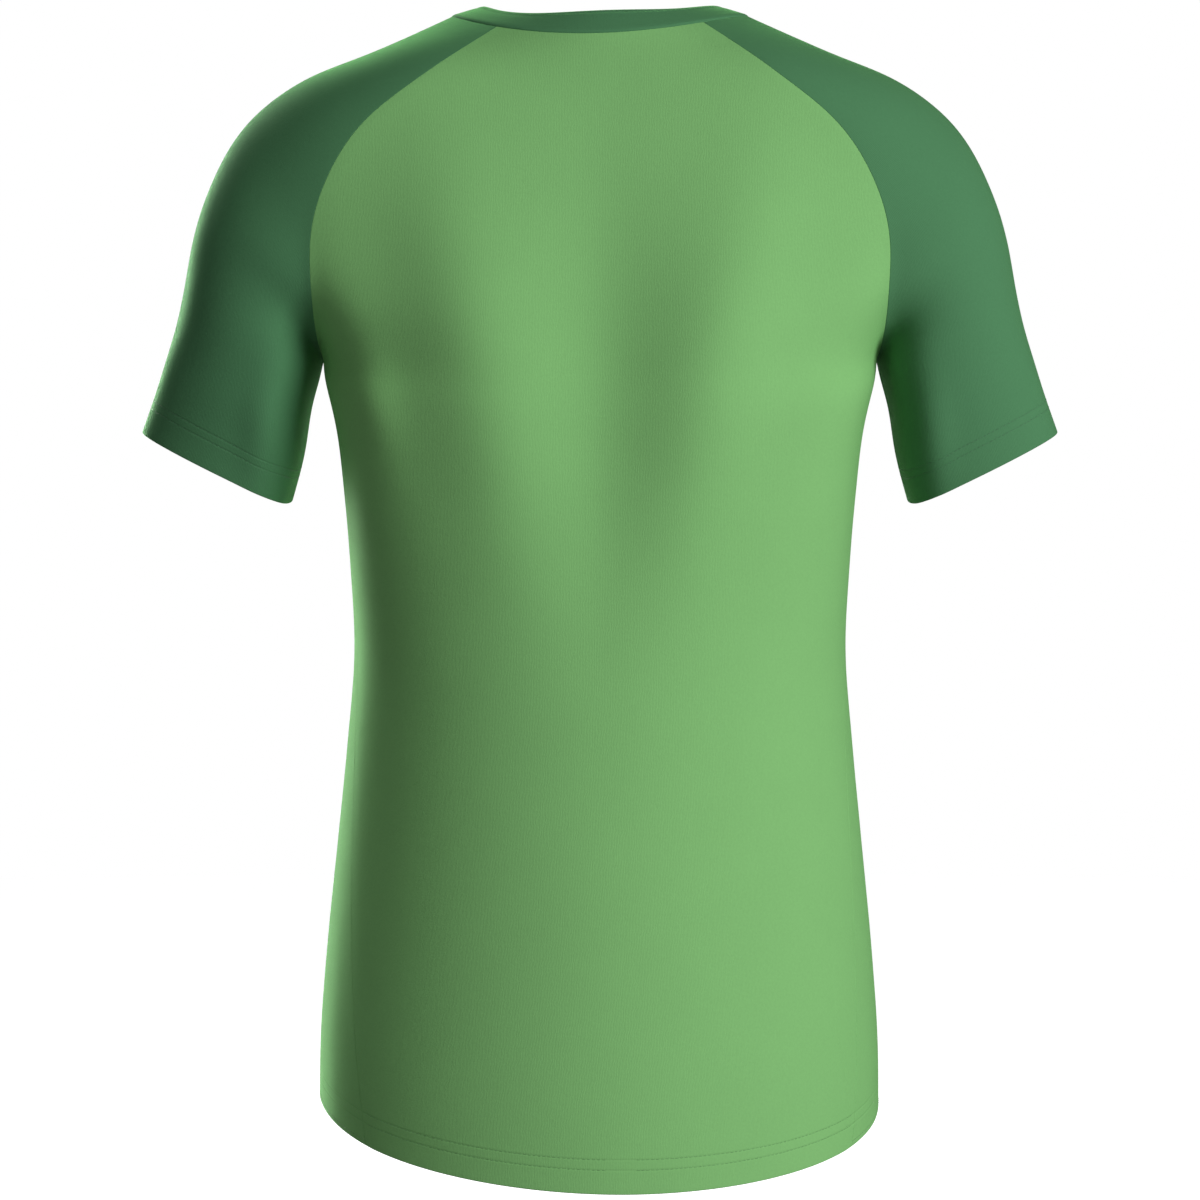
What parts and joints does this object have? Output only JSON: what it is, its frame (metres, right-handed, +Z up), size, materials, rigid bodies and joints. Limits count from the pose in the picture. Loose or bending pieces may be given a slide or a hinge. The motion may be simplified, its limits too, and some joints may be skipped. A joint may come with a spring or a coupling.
{
  "type": "sports t-shirt",
  "caption": "Short-sleeved sports t-shirt, filled out as if worn: light green body, dark green raglan sleeves and neck band, scooped back hem.",
  "frame": {"origin": "midway between the two sides of the neck, on the shoulder line where the wearer's shoulders carry the shirt", "axes": "+Z up, from hem to neck; +Y towards the back of the shirt, -Y towards its front; +X towards the wearer's left sleeve"},
  "size_m": [0.5664, 0.2761, 0.7074],
  "materials": {
    "body_knit": "matte",
    "sleeve_knit": "matte"
  },
  "bodies": {
    "root": {"back": "body_knit", "front": "body_knit", "sleeve_left": "sleeve_knit", "sleeve_right": "sleeve_knit", "collar": "sleeve_knit"}
  },
  "joints": []
}
